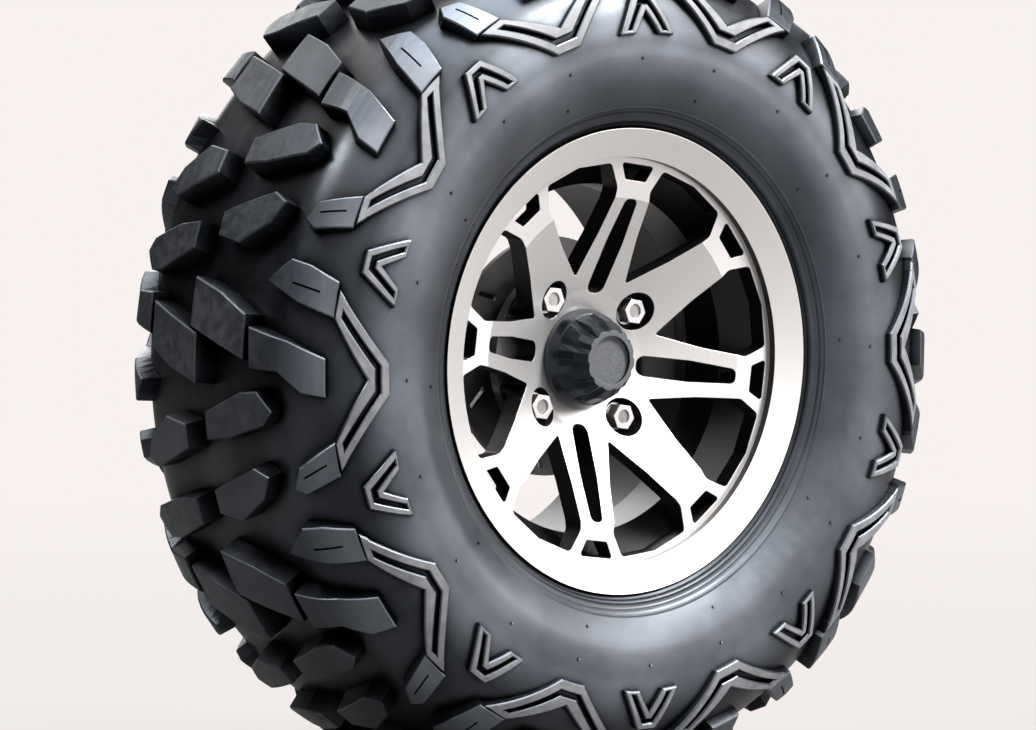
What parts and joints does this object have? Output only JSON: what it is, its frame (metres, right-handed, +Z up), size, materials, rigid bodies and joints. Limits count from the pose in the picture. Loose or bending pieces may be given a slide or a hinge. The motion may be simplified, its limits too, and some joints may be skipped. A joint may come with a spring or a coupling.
{
  "type": "quad bike rear wheel end",
  "caption": "Off-road wheel with chevron-lugged balloon tyre on a split-spoke alloy rim, with hub, brake disc, caliper and knuckle.",
  "frame": {"origin": "on the axle, in the knuckle's inboard face that bolts to a trailing arm", "axes": "+Z up, axle along Y with the wheel's outer face towards -Y and the vehicle's middle towards +Y"},
  "size_m": [0.6348, 0.2468, 0.634],
  "materials": {
    "machined_alloy": "machined faces over black paint",
    "tyre": "semi-matt rubber",
    "cap_plastic": "satin",
    "hub_steel": "forged and turned",
    "disc_steel": "ground",
    "rubber": "matt",
    "bearing_steel": "ground",
    "cast_alloy": "painted casting",
    "pad": "sintered",
    "zinc_steel": "zinc plated",
    "chrome": "polished"
  },
  "bodies": {
    "knuckle": {"brake_pad_inner": "pad", "brake_pad_outer": "pad", "caliper_body": "cast_alloy", "caliper_bolt_1": "zinc_steel", "caliper_bolt_2": "zinc_steel", "knuckle": "cast_alloy", "wheel_bearing": "bearing_steel"},
    "wheel": {"alloy_rim": "machined_alloy", "brake_disc": "disc_steel", "centre_cap": "cap_plastic", "lug_nut_1": "chrome", "lug_nut_2": "chrome", "lug_nut_3": "chrome", "lug_nut_4": "chrome", "tyre": "tyre", "valve_cap": "cap_plastic", "valve_stem": "rubber", "wheel_hub": "hub_steel"}
  },
  "joints": [
    {"name": "wheel_spin", "type": "hinge", "parent": "knuckle", "child": "wheel", "pos_m": [0, -0.042, 0], "axis": [0, 1, 0], "continuous": true}
  ]
}
